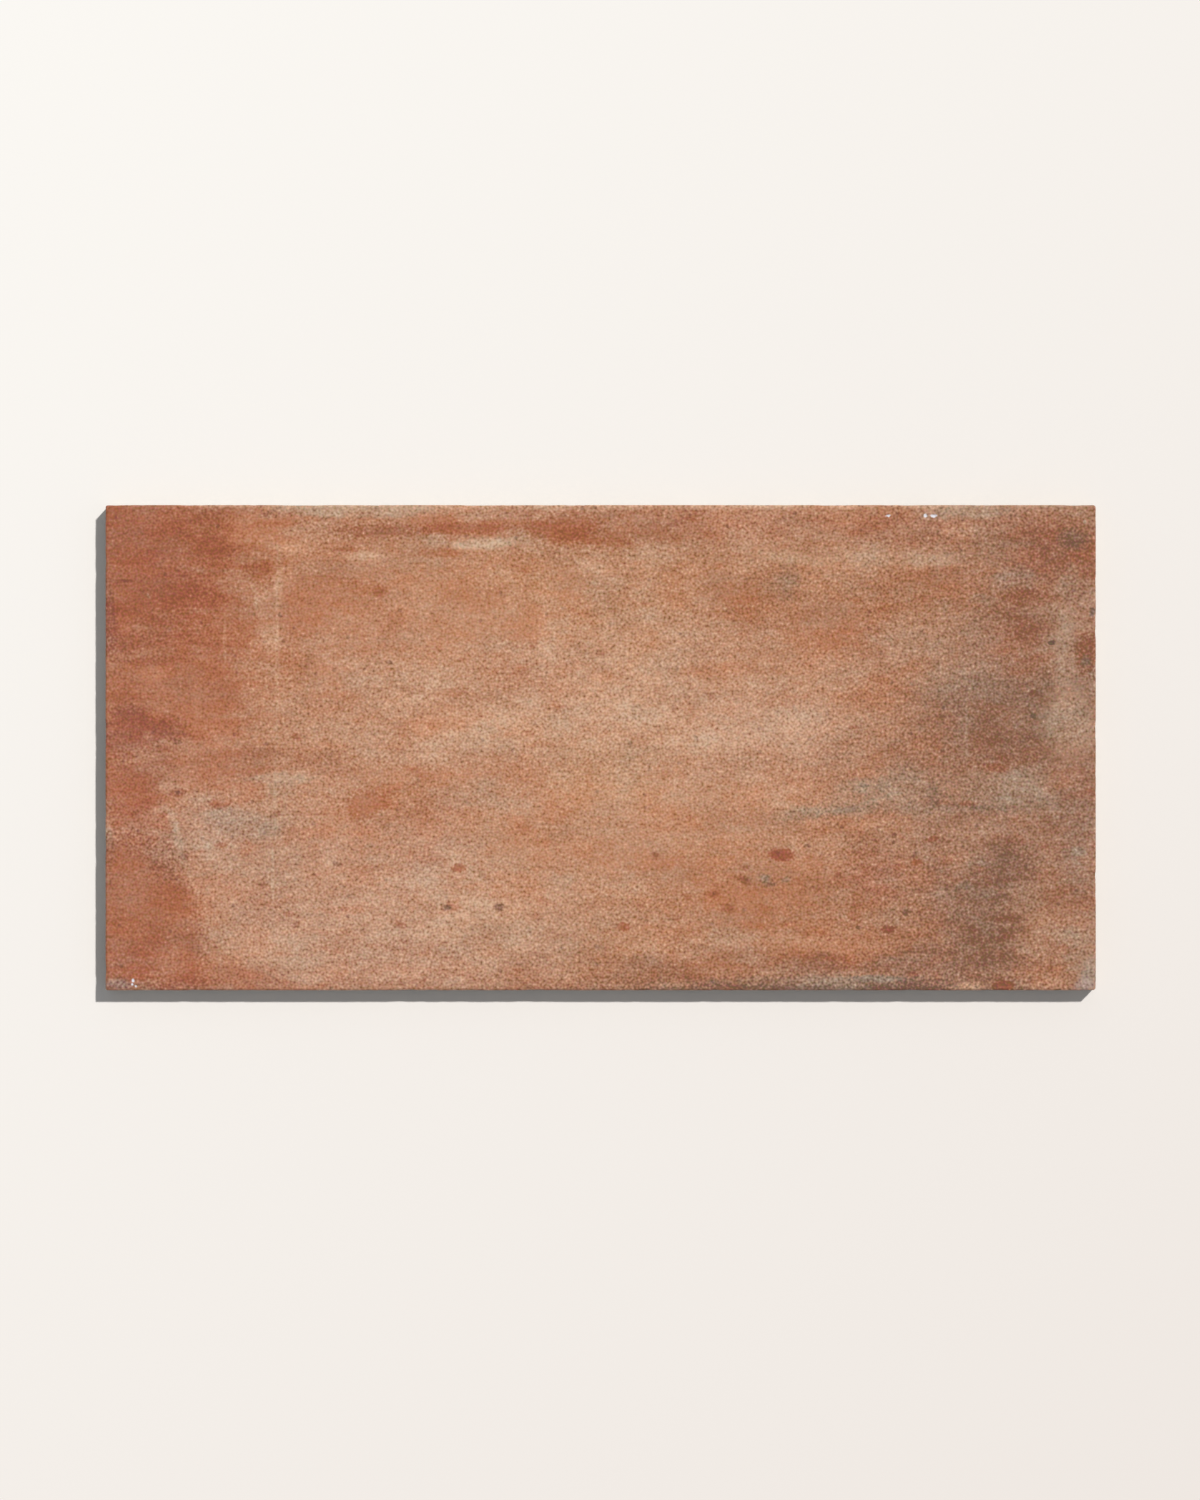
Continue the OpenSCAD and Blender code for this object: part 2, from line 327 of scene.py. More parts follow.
# Marks that the fire dragged along the tile or across it, in the same terms
STREAKS = [
    (-76, 71.7, 24, 2.0, 0, 0.6, 16, -10),
    (-66, 65.6, 13, 1.9, 0, 0.8, -36, 3),
    (-41, 66.5, 13, 1.7, 0, 0.8, -30, 3),
    (-35, 61.8, 9, 1.8, 3, 0.6, 38, -10, -0.6),
    (-43.4, 61.2, 2.2, 1.5, -10, 0.9, 22, -7),
    (-72, 58.1, 7, 1.6, 0, 0.8, 22, -5),
    (-94, 60.8, 4.8, 1.8, 0, 0.9, 20, -5),
    (-77, 60, 4, 0.7, 0, 0.9, -32, 3),
    (-82, 69, 9, 0.9, -6, 1.0, -14, 3),
    (-50, 59, 8, 1.1, 0, 1.2, -22, 3),
    (-11, 66.5, 11, 4.0, 0, 0.8, -32, 6),
    (1, 64, 10, 3.2, 0, 1.0, -20, 3),
    (3, 70, 6, 1.4, 0, 1.0, -12, 2),
    (15, 64.5, 7, 3.2, 10, 0.9, -18, 3),
    (24, 68.5, 5, 1.4, 25, 1.2, -18, 1),
    (57, 57.6, 10, 2.0, -10, 0.8, 26, -6),
    (94, 57, 24, 2.4, 0, 1.0, 14, -4),
    (57, 50, 3, 5.0, 0, 1.4, -4, -10),
    (-108, 71.5, 12, 1.4, 0, 1.0, -16, 1),
    (-135, 26, 8, 1.3, 0, 1.2, -14, 0),
    (-139, 36, 6.0, 0.8, 0, 0.9, 16, 0),
    (-143, 39.4, 3.5, 0.7, 6, 0.9, 14, 0),
    (-147, 46, 3.5, 1.8, 0, 1.0, 14, 0),
    (-136, 22.5, 5, 2.0, 0, 1.2, 12, 0),
    (-148.5, 38, 2.0, 7.5, 0, 1.0, -16, 0, -1),
    (-136, 57.5, 3.0, 2.2, 0, 1.0, -8, 0, -0.8),
    (-136, 65.5, 9, 1.2, 0, 1.0, -10, 1),
    (-122.5, 14, 1.1, 8, 0, 1.0, 10, 0),
    (-97.6, 48.5, 1.5, 8, 0, 0.9, 16, -3),
    (-104.4, 44, 0.9, 2.4, 0, 0.8, 26, -5),
    (-105.4, 49.5, 0.8, 2.6, 12, 0.9, 16, -3),
    (-101.5, 46, 1.8, 1.4, 0, 1.0, 14, -3),
    (-99.6, 32.5, 3.0, 5.5, 0, 0.9, 14, -2),
    (-103, 53, 4.5, 2.4, 0, 1.0, -16, 3),
    (-101.2, 70.2, 2.4, 0.9, -6, 0.8, -26, -6),
    (-137, 3.8, 1.6, 1.4, 0, 0.9, 24, -4),
    (-148, 6.0, 2.2, 0.6, 15, 0.9, 14, -2),
    (-96, -9.4, 10, 1.7, 0, 0.9, 9, -9),
    (-98.6, -8.4, 3.2, 1.8, 0, 0.8, 16, -3),
    (-90.3, -9.4, 2.0, 1.2, 0, 0.8, 18, -3),
    (-104, -8.6, 1.5, 0.9, 0, 0.8, 14, -3),
    (-140, -6.5, 2.0, 1.0, 0, 1.0, 18, -3),
    (-145, -4, 3.0, 0.6, 0, 1.0, 14, -2),
    (-133, -11.4, 1.4, 1.0, 0, 1.0, 14, -2),
    (-146.5, -71.6, 4.5, 1.4, 0, 1.0, 16, -16, -4),
    (-135.3, -70.5, 2.2, 0.7, 0, 1.0, 22, -3),
    (-70.5, -17, 6.8, 4.2, 14, 0.7, -28, 6),
    (-63, -12.5, 3.5, 1.2, 30, 1.0, -14, 3),
    (-55.5, -7.2, 4.5, 1.1, -18, 1.0, -16, 4),
    (-149.5, -26, 1.4, 3.6, 0, 1.0, 24, -10),
    (-94.5, -69.6, 6.5, 1.1, -10, 1.0, 15, -4),
    (-50, 16.8, 11, 1.4, 0, 0.9, -18, 4),
    (-27, 24, 5, 2.0, 0, 1.2, -12, 3),
    (-13, 12, 5, 1.2, 0, 1.2, -14, 2),
    (57, -17.5, 8, 1.1, -12, 1.2, 12, -4),
    (61, -20, 7, 2.4, 8, 1.0, -4, -10, 0.6),
    (74, -18, 9, 2.8, 10, 1.2, 0, -9),
    (77, -12, 8, 2.2, 6, 1.2, 0, -8),
    (92, -11.5, 12, 4.5, 4, 1.2, 7, -6),
    (121, -13, 16, 5.5, 0, 1.0, 13, -6),
    (74.5, -18.8, 5.5, 1.1, 8, 1.0, -14, -6),
    (89.5, -14, 3.6, 0.6, 2, 0.8, 16, -4),
    (81.7, -16.2, 3.4, 0.5, 15, 0.8, 18, -4),
    (80, -11.3, 2.6, 1.7, 0, 0.8, 10, -2),
    (100.6, -14, 2.0, 4.5, 0, 1.0, -14, -4),
    (119, -6, 5.0, 1.3, 0, 0.8, -12, 9),
    (111, -16.8, 2.6, 0.8, -5, 0.8, -12, 7),
    (118, -18.2, 6.5, 0.8, -4, 1.0, -12, -3),
    (132.5, -26.5, 3.5, 1.8, 0, 1.0, 9, 0),
    (108.8, -42.3, 2.6, 1.3, 0, 1.0, 12, -6),
    (113, -38.6, 2.4, 0.7, 12, 0.8, -16, 0),
    (108, -17.5, 8, 1.1, -5, 1.2, -14, 1),
    (118, -4, 10, 2.2, 0, 1.0, -12, 3),
    (113, -25, 8, 3.0, 0, 1.2, 18, 1),
    (85, -23, 8, 2.8, 0, 1.2, 12, 0),
    (141, 27, 3.6, 10, 0, 0.8, 20, -5),
    (142, 7, 8, 10, 0, 0.8, 40, -4),
    (142.4, 50.6, 3.2, 1.6, 0, 0.8, 24, -5),
    (143.5, 54, 1.4, 1.8, 0, 0.9, 16, -4),
    (137, 40, 6.5, 4.5, -10, 0.9, 16, -4),
    (129, 37, 7, 2.8, 0, 1.1, -14, 4),
    (130, 45.8, 5, 2.6, 0, 1.2, -13, 4),
    (127.5, 61.6, 3.4, 0.8, 4, 1.0, 16, -6),
    (125, 52, 6, 1.2, 6, 1.0, 12, -8),
    (125.3, 49.5, 2.4, 0.8, 8, 0.9, 16, -6),
    (113, 71.5, 10, 1.8, 0, 0.9, 12, -8),
    (147.5, 36.4, 3.0, 1.2, 0, 0.8, 20, -2),
    (148.8, 41, 0.9, 1.4, 0, 0.8, -34, -16),
    (146.8, 26, 1.2, 1.9, 0, 0.9, 4, -14),
    (98, 56.2, 8, 1.4, 0, 0.9, 16, -4),
    (147.3, 28.4, 3.6, 5.8, 0, 0.8, -38, 6, 1),
    (143.4, 63.5, 4.0, 3.0, 0, 1.2, -15, -16, 0.4),
    (143, 70, 8, 3.5, 0, 1.2, 12, 0),
    (84, -69.9, 8, 1.2, 0, 0.8, 18, -14, -1),
    (68, -71.4, 42, 2.2, 0, 1.0, 0, -12, -0.6),
    (62, -73.4, 58, 1.8, 0, 1.0, -28, -10, -0.6),
    (-20, -73.4, 30, 1.4, 0, 1.2, -16, 0),
    (112, -72.2, 5, 1.4, 0, 0.6, 56, 6),
    (148.4, -68.5, 2.4, 5.0, 0, 1.0, 20, -12, -2),
    (146.5, -71.8, 2.8, 2.4, 0, 1.0, 30, -16, -7),
    (103.4, -58.2, 1.5, 1.1, 0, 0.9, 28, 0),
    (111.8, -66.2, 1.5, 1.0, 0, 0.9, 28, 3),
]

# Fine lines, iron specks and burnt grains, crisp against the ground, in the same terms
SPECKS = [
    (-98, 25, 0.5, 32, 0, 0.6, 14, -2),
    (-98.6, -16, 0.5, 12, 0, 0.8, 12, -3),
    (-99.3, -39, 0.5, 9, 0, 0.6, 22, -5),
    (110.8, 5, 0.5, 9.5, 0, 0.8, 20, -3),
    (54.7, -32.4, 3.7, 2.0, -3, 0.5, -50, 10, -2.4),
    (87.0, -55.0, 2.2, 1.2, -3, 0.5, -48, 6, -1.6),
    (6.8, -54.2, 2.2, 1.2, -8, 0.6, -36, 6, -1.5),
    (-43.0, -36.3, 2.1, 1.3, 5, 0.6, -60, 10, 1),
    (-115.3, -16.6, 3.4, 2.0, 5, 0.7, -34, 7),
    (-114.4, -15.8, 2.0, 1.1, 5, 0.8, 24, -3),
    (-115.0, -29.5, 1.9, 0.9, 0, 0.9, -38, 6),
    (-92.0, 3.4, 1.4, 1.1, 0, 0.9, -48, 3),
    (-101.7, -41.6, 1.6, 0.8, 0, 0.9, -41, 4),
    (-94.6, -50.4, 1.8, 0.8, 0, 0.9, -31, 5),
    (-128.3, -13.6, 2.4, 1.2, 0, 0.9, -44, 2),
    (-128.2, -13.7, 1.0, 0.7, 0, 0.7, -42, -14),
    (-98.5, -20.1, 1.2, 1.0, 0, 0.9, -43, 2),
    (-126.0, -32.8, 1.5, 0.8, 15, 0.9, -48, -2),
    (-80.0, -35.3, 1.2, 1.0, 0, 0.9, -43, -2),
    (-92.6, -53.6, 1.4, 0.8, 15, 0.9, -38, 2),
    (-61.0, -53.3, 2.2, 1.0, -10, 1.2, -38, 3),
    (-58.5, -58.8, 1.8, 0.7, 0, 1.2, -29, 3),
    (-77.5, -48.8, 1.4, 0.7, 0, 1.2, -31, 3),
    (-45.3, -48.5, 2.7, 1.4, 0, 0.9, -26, 7),
    (-46.5, -48.5, 1.3, 0.8, 0, 0.9, -64, -18, 0),
    (-30.8, -48.3, 1.4, 1.1, 0, 0.9, -80, -12),
    (-17.0, -46.5, 3.3, 0.9, -15, 1.2, -24, 3),
    (-19.6, -51.5, 1.5, 1.5, 0, 1.2, -26, 2),
    (-23.5, -24.6, 2.2, 1.6, 0, 1.2, -24, 2),
    (16.6, -32.5, 1.2, 0.9, 0, 0.9, -43, 0),
    (22.0, -51.6, 2.2, 0.8, 0, 1.2, -31, 1),
    (12.2, -48.0, 1.2, 0.8, 0, 1.2, -26, 1),
    (22.8, -57.3, 1.2, 0.9, 0, 1.2, -24, 1),
    (34.5, -44.2, 2.0, 1.2, 0, 1.2, -34, 3),
    (26.5, -45.4, 1.3, 0.9, 0, 1.2, -24, 1),
    (38.5, -48.5, 2.1, 1.1, 20, 1.2, -29, 0),
    (43.9, -36.3, 1.3, 1.0, 0, 0.9, -41, 1),
    (43.5, -40.2, 2.0, 1.1, -30, 0.9, -48, 0),
    (49.8, -39.6, 1.6, 1.2, 0, 1.2, -10, -18),
    (51.4, -41.4, 1.6, 0.9, 0, 1.2, -31, -12),
    (56.0, -40.0, 1.4, 0.8, 0, 1.2, -12, -14),
    (62.6, -29.8, 1.2, 0.5, 0, 0.9, -50, -6),
    (80, -11.4, 1.3, 0.6, 0, 0.8, -40, -10),
    (78.2, -54.4, 1.1, 0.5, 0, 0.7, -54, -12),
    (76.7, -51, 2.0, 1.3, 0, 0.8, -28, 6),
    (77.2, -50.6, 1.0, 0.6, 0, 0.8, 20, -2),
    (77.4, -47.2, 1.3, 0.8, 0, 1.2, -29, 0),
    (92.4, -49.9, 1.1, 1.0, 0, 0.8, -46, -8),
    (95.2, -32.3, 0.9, 0.8, 0, 0.8, -36, -4),
    (95.8, -34.7, 1.6, 1.0, 0, 0.8, -26, 10),
    (88.8, -26.5, 0.9, 0.8, 0, 0.8, -42, -4),
    (83.0, -28.0, 0.7, 0.6, 0, 0.8, -34, -4),
    (100.3, -27.7, 2.2, 0.8, 15, 0.8, -30, 10),
    (71.8, -38.3, 0.9, 0.7, 0, 0.8, -40, 3),
    (103.3, -37.4, 0.5, 0.5, 0, 0.8, 40, -8),
    (65.5, -42.8, 1.6, 0.8, 0, 1.2, -24, 1),
    (94.7, -68.5, 1.5, 0.8, 0, 0.9, -34, 6),
    (122.0, -72.2, 3.3, 1.9, 0, 0.6, -46, 14, 0),
    (33.3, 15.8, 1.3, 0.9, 0, 1.2, -34, 1),
    (22.3, 12.2, 1.0, 1.3, 0, 1.2, -31, 0),
    (7.5, 8.7, 1.3, 0.9, 0, 1.2, -31, 1),
    (0.6, 28.3, 1.4, 1.0, 0, 1.2, -29, 0),
    (-20.5, 31.0, 1.1, 1.5, 0, 1.2, -24, 1),
    (77, 6.2, 2.2, 0.6, 0, 0.8, -36, 3),
    (81.5, 41.3, 0.8, 0.7, 0, 0.8, -40, -4),
    (81.3, 36.1, 0.8, 0.6, 0, 0.8, -46, -6),
    (131.2, 16.4, 1.6, 0.9, 0, 0.9, -30, 4),
    (-113.8, 32, 0.5, 6.5, 0, 0.8, 24, -3),
    (-137, 46, 0.4, 0.9, 20, 0.7, 44, -8),
    (-97.2, 40.2, 0.8, 0.7, 0, 0.8, -48, -14),
    (-92.7, 36.3, 0.6, 0.5, 0, 0.8, -34, -8),
    (146.7, 68.5, 0.6, 0.6, 0, 0.7, 50, -14),
    (-64.1, 25.9, 0.9, 0.7, 0, 0.9, -43, -8),
    (-128.0, 1.7, 1.3, 0.8, -20, 0.9, -38, -6),
    (-66.8, 47.2, 1.9, 1.6, -30, 1.2, -34, 2),
    (136.6, 31.8, 0.9, 0.7, 0, 0.6, -120, -24),
    (131, 9.6, 0.9, 0.7, 0, 0.8, -44, -14),
    (-144.0, 50.5, 2.3, 0.5, 0, 1.2, -36, -3),
    (-100.0, 49.5, 1.2, 0.9, 0, 1.2, -34, 1),
]


# ---------------------------------------------------------------- the tile's shape


def edge_drop(inset):
    """How far the rounded face edge lies below the face, this far in from the side."""
    if inset >= EDGE_RADIUS:
        return 0
    return EDGE_RADIUS - math.sqrt(EDGE_RADIUS**2 - (EDGE_RADIUS - inset) ** 2)


def corner_centre(x, y, radius=CORNER_RADIUS):
    """The nearest point of the outline's core, which a corner of this radius is struck from."""
    core_x, core_y = HALF_LENGTH - radius, HALF_WIDTH - radius
    return Vector((max(-core_x, min(core_x, x)), max(-core_y, min(core_y, y)), 0))


def grid_of_face(bm):
    """A fine grid over the whole outline, with closer lines along the rounded edges."""
    size = Matrix.Diagonal((2 * HALF_LENGTH, 2 * HALF_WIDTH, 1, 1))
    bmesh.ops.create_grid(
        bm,
        x_segments=round(2 * HALF_LENGTH / FACE_STEP),
        y_segments=round(2 * HALF_WIDTH / FACE_STEP),
        size=0.5,
        matrix=Matrix.Translation((0, 0, THICKNESS)) @ size,
    )
    for degrees in EDGE_TURNS:
        inset = EDGE_RADIUS * (1 - math.sin(math.radians(degrees)))
        for axis, half in ((0, HALF_LENGTH), (1, HALF_WIDTH)):
            for side in (-1, 1):
                cut = Vector((0, 0, 0))
                cut[axis] = side * (half - inset)
                near = [f for f in bm.faces if side * f.calc_center_median()[axis] > half - 3 * FACE_STEP]
                near += list({part for f in near for part in (*f.edges, *f.verts)})
                bmesh.ops.bisect_plane(bm, geom=near, plane_co=cut, plane_no=cut.normalized(), dist=TOUCHING)


def round_the_edges(bm):
    """Rounds the four corners in plan and turns the face down along its sides."""
    for vert in bm.verts:
        centre = corner_centre(vert.co.x, vert.co.y)
        out = Vector((vert.co.x, vert.co.y, 0)) - centre
        if out.x and out.y:
            vert.co.xy = centre.xy + out.xy * max(abs(out.x), abs(out.y)) / out.length
        inset = min(HALF_LENGTH - abs(vert.co.x), HALF_WIDTH - abs(vert.co.y))
        vert.co.z = THICKNESS - edge_drop(max(0, inset))


def pull_ring(bm, rim, height, inset=0):
    """Draws the open rim down to a height, and in by an inset. Returns the new rim."""
    made = bmesh.ops.extrude_edge_only(bm, edges=rim)["geom"]
    for vert in (part for part in made if isinstance(part, bmesh.types.BMVert)):
        out = Vector((vert.co.x, vert.co.y, 0)) - corner_centre(vert.co.x, vert.co.y)
        vert.co -= out.normalized() * inset
        vert.co.z = height
    return [part for part in made if isinstance(part, bmesh.types.BMEdge) and part.is_boundary]


def rib_lines(half_field):
    """Where the crests of the ribs begin and end across a field, from half the field's size."""
    count = 2 * max(1, round(half_field / RIB_SPACING))
    pitch = 2 * half_field / count
    middles = [i * pitch - half_field for i in range(1, count)]
    return [middle + side * RIB_CREST / 2 for middle in middles for side in (-1, 1)]


def cut_lines(bm, geom, axis, places):
    """Scores the flat back along straight lines."""
    for place in places:
        at, across = Vector((0, 0, 0)), Vector((0, 0, 0))
        at[axis], across[axis] = place, 1
        geom = bmesh.ops.bisect_plane(bm, geom=geom, plane_co=at, plane_no=across, dist=TOUCHING)["geom"]
    return geom


def spans(face):
    """Length and width of a face that lies in the plane of the back."""
    return [max(v.co[axis] for v in face.verts) - min(v.co[axis] for v in face.verts) for axis in (0, 1)]


def key_the_back(bm, rim):
    """Closes the back and presses the drafted pockets into it, between the ribs. Returns their walls."""
    back = bmesh.ops.contextual_create(bm, geom=rim)["faces"]
    geom = back + list({part for f in back for part in (*f.edges, *f.verts)})
    field = (HALF_LENGTH - RIM_WIDTH, HALF_WIDTH - RIM_WIDTH)
    for axis in (0, 1):
        geom = cut_lines(bm, geom, axis, (-field[axis], field[axis]))

    def in_field(part):
        corners = [v.co for v in part.verts] if hasattr(part, "verts") else [part.co]
        return all(abs(c[axis]) < field[axis] + SLACK for c in corners for axis in (0, 1))

    geom = [part for part in geom if part.is_valid and in_field(part)]
    for axis in (0, 1):
        geom = cut_lines(bm, geom, axis, rib_lines(field[axis]))
    faces = [part for part in geom if isinstance(part, bmesh.types.BMFace)]
    pockets = [face for face in faces if min(spans(face)) > 2 * RIB_CREST]
    return bmesh.ops.inset_individual(
        bm,
        faces=pockets,
        thickness=KEY_DEPTH * math.tan(POCKET_DRAFT),
        depth=-KEY_DEPTH,
        use_even_offset=True,
    )["faces"]


def soften_the_crests(bm, walls):
    """Breaks the sharp edges between the pockets' walls and the crests of the ribs."""
    edges = {edge for face in walls for edge in face.edges}
    crests = [edge for edge in edges if all(abs(v.co.z) < SLACK for v in edge.verts)]
    bmesh.ops.bevel(
        bm, geom=crests, offset=RIB_SOFTENING, segments=1, profile=0.5, affect="EDGES", material=-1
    )


def refine_chips(bm):
    """Splits the face more finely round each flake."""
    near = []
    for face in bm.faces:
        middle = face.calc_center_median()
        if middle.z < THICKNESS / 2:
            continue
        at = middle / MM
        if any(math.hypot(at.x - x, at.y - y) < 1.3 * max(a, b) for x, y, a, b, _ in CHIPS):
            near.append(face)
    edges = list({edge for face in near for edge in face.edges})
    bmesh.ops.subdivide_edges(bm, edges=edges, cuts=2, use_grid_fill=True)


def waves(place, layers):
    """Noise over the face: the sum of layers, each a wavelength in mm and a weight."""
    flat = Vector((place.x, place.y, 0)) / MM
    return sum(weight * noise.noise(flat / length) for length, weight in layers)


def hollowness(place, layers):
    """Noise over the face in the same layers, brought between nought and one."""
    most = sum(weight for _, weight in layers)
    return (most + waves(place, layers)) / (2 * most)


def spot_depth(place, spots):
    """Depth of the deepest hollow in a list of them, at a place on the face."""
    deepest = 0
    for x, y, half_length, half_width, depth in spots:
        reach = math.hypot((place.x / MM - x) / half_length, (place.y / MM - y) / half_width)
        if reach < 1:
            deepest = max(deepest, depth * MM * (1 - reach**2) ** 2)
    return deepest


def relief(place):
    """How far the face lies below a flat one at a place: long waves, ripples, flakes and pits."""
    sunk = WAVE_DEPTH * hollowness(place, LONG_WAVES) + RIPPLE_DEPTH * hollowness(place, RIPPLES)
    flake = spot_depth(place, CHIPS) * (1 + waves(place, FLAKE_BREAKS))
    return sunk + flake + spot_depth(place, PITS)


def wear_the_face(bm):
    """Gives the face its relief and draws its edges in unevenly, inside the solid's outline."""
    upper = [vert for vert in bm.verts if vert.co.z >= THICKNESS / 2]
    for vert in upper:
        inset = min(HALF_LENGTH - abs(vert.co.x), HALF_WIDTH - abs(vert.co.y))
        high = 1 - max(0, (THICKNESS - vert.co.z) / THICKNESS * 2)
        near = max(0, 1 - inset / WANDER_REACH) * high
        out = Vector((vert.co.x, vert.co.y, 0)) - corner_centre(vert.co.x, vert.co.y, WANDER_REACH)
        if near and out.length:
            worn = EDGE_WANDER * max(0, waves(vert.co, EDGE_WAVES))
            vert.co -= out.normalized() * worn * near
        vert.co.z -= relief(vert.co) * high
    sunk = THICKNESS - max(vert.co.z for vert in upper)
    for vert in upper:
        vert.co.z += sunk


def build_tile():
    """The whole tile as one closed mesh."""
    bm = bmesh.new()
    grid_of_face(bm)
    round_the_edges(bm)
    rim = [edge for edge in bm.edges if edge.is_boundary]
    for height in SIDE_RINGS:
        rim = pull_ring(bm, rim, height)
    rim = pull_ring(bm, rim, 0, CHAMFER_WIDTH)
    walls = key_the_back(bm, rim)
    for face in bm.faces:
        face.smooth = True
    soften_the_crests(bm, walls)
    refine_chips(bm)
    wear_the_face(bm)
    bmesh.ops.recalc_face_normals(bm, faces=bm.faces)
    for edge in bm.edges:
        low = edge.verts[0].co.z < THICKNESS / 2
        if low and edge.is_manifold and edge.calc_face_angle(0) > CREASE:
            edge.smooth = False
    mesh = bpy.data.meshes.new("porcelain_tile")
    bm.to_mesh(mesh)
    bm.free()
    piece = bpy.data.objects.new("porcelain_tile", mesh)
    bpy.context.scene.collection.objects.link(piece)
    return piece


# ---------------------------------------------------------------- small helpers for materials


def shade(red, green, blue):
    """A colour as it looks on a screen, 0 to 255, as the linear one that nodes take."""
    steps = [value / 255 for value in (red, green, blue)]
    return (*(s / 12.92 if s <= 0.04045 else ((s + 0.055) / 1.055) ** 2.4 for s in steps), 1)


def add(tree, kind, inputs=None, **settings):
    """Adds a shader node. Its inputs take a value each, or another node's output."""
    node = tree.nodes.new("ShaderNode" + kind)
    for name, value in settings.items():
        setattr(node, name, value)
    for name, value in (inputs or {}).items():
        if isinstance(value, bpy.types.NodeSocket):
            tree.links.new(value, node.inputs[name])
        else:
            node.inputs[name].default_value = value
    return node


def calc(tree, operation, *values):
    """A Math node's result."""
    return add(tree, "Math", dict(enumerate(values)), operation=operation).outputs[0]


def vector_calc(tree, operation, *values):
    """A Vector Math node's vector."""
    return add(tree, "VectorMath", dict(enumerate(values)), operation=operation).outputs[0]


def part_of(tree, vector, axis):
    """One of a vector's three parts."""
    return add(tree, "SeparateXYZ", {0: vector}).outputs[axis]


def add_up(tree, total, layers):
    """A total with layers added to it, each a value and what it is multiplied by."""
    for layer, steps in layers:
        total = calc(tree, "MULTIPLY_ADD", layer, steps, total)
    return total


def span(tree, value, low, high, first=0.0, last=1.0):
    """The first number up to low and the last one from high on, with a straight rise between."""
    inputs = {"Value": value, "From Min": low, "From Max": high, "To Min": first, "To Max": last}
    return add(tree, "MapRange", inputs).outputs[0]


def smooth_step(tree, value, low, high):
    """Nought below low and one above high, with a smooth rise between. It needs no clamp besides."""
    inputs = {"Value": value, "From Min": low, "From Max": high}
    return add(tree, "MapRange", inputs, interpolation_type="SMOOTHSTEP", clamp=False).outputs[0]


def ramp(tree, factor, stops):
    """A colour ramp through (position, colour) stops."""
    node = add(tree, "ValToRGB", {"Fac": factor})
    marks = node.color_ramp.elements
    while len(marks) < len(stops):
        marks.new(0.5)
    for mark, (position, colour) in zip(marks, stops):
        mark.position = position
        mark.color = colour
    return node.outputs["Color"]


def mix(tree, factor, first, second, blend_type="MIX"):
    """Two colours mixed, or the second added to the first."""
    inputs = {0: factor, 6: first, 7: second}
    node = add(tree, "Mix", inputs, data_type="RGBA", blend_type=blend_type, clamp_factor=False)
    return node.outputs[2]


def grains(tree, place, stretch, detail=2.0, roughness=0.5):
    """Noise with features as long as stretch (mm) along each axis: a value centred on nought,
    and a colour, whose parts are centred on a half."""
    scaled = add(tree, "Mapping", {"Vector": place, "Scale": [1 / size for size in stretch]}).outputs[0]
    cloudy = add(tree, "TexNoise", {"Vector": scaled, "Scale": 1.0, "Detail": detail, "Roughness": roughness})
    return calc(tree, "SUBTRACT", cloudy.outputs["Fac"], 0.5), cloudy.outputs["Color"]


def centred(tree, colour, axis):
    """One part of a noise's colour, centred on nought."""
    return calc(tree, "SUBTRACT", part_of(tree, colour, axis), 0.5)


def pushed_about(tree, place, push, reach):
    """A place moved by a noise's colour, by up to half the reach (mm) either way."""
    pushed = vector_calc(tree, "MULTIPLY_ADD", push, reach, place)
    return vector_calc(tree, "SUBTRACT", pushed, [length / 2 for length in reach])


def ball(tree, place, x, y, half_length, half_width, turn=0):
    """A gradient over an ellipse on the face: one at its middle and nought at its border."""
    node = add(tree, "TexGradient", {"Vector": place}, gradient_type="SPHERICAL")
    node.texture_mapping.vector_type = "TEXTURE"
    node.texture_mapping.translation = (x, y, 0)
    node.texture_mapping.rotation = (0, 0, math.radians(turn))
    node.texture_mapping.scale = (half_length, half_width, RIGHT_THROUGH)
    return node.outputs["Fac"]


# ---------------------------------------------------------------- marks of the fire


def mark_group():
    """One mark of the fire, added to the shades beneath it. The ball is its gradient."""
    tree = bpy.data.node_groups.new("fire mark", "ShaderNodeTree")
    for name, kind in (
        ("Ball", "Float"),
        ("Fray", "Float"),
        ("Fray Share", "Float"),
        ("Outer Edge", "Float"),
        ("Inner Edge", "Float"),
        ("Shade", "Vector"),
        ("Under", "Color"),
    ):
        tree.interface.new_socket(name, in_out="INPUT", socket_type="NodeSocket" + kind)
    tree.interface.new_socket("Over", in_out="OUTPUT", socket_type="NodeSocketColor")
    given = tree.nodes.new("NodeGroupInput").outputs
    frayed = calc(tree, "MULTIPLY_ADD", given["Fray"], given["Fray Share"], given["Ball"])
    mask = smooth_step(tree, frayed, given["Outer Edge"], given["Inner Edge"])
    over = mix(tree, mask, given["Under"], given["Shade"], blend_type="ADD")
    tree.links.new(over, tree.nodes.new("NodeGroupOutput").inputs["Over"])
    return tree


def lay_marks(tree, group, place, fray, most_fray, under, marks):
    """Adds a list of marks to the shades beneath, each an ellipse with a soft edge that the fray tears.
    Returns the shades with all of them. A mark's ball is wide enough for its soft edge and the fray."""
    for x, y, half_length, half_width, turn, soft_edge, *steps in marks:
        reach = 1 + soft_edge / 2 + most_fray
        inputs = {
            "Ball": ball(tree, place, x, y, half_length * reach, half_width * reach, turn),
            "Fray": fray,
            "Fray Share": -1 / reach,
            "Outer Edge": most_fray / reach,
            "Inner Edge": 1 - (1 - soft_edge / 2) / reach,
            "Shade": (*steps, 0)[:3],
            "Under": under,
        }
        under = add(tree, "Group", inputs, node_tree=group).outputs["Over"]
    return under


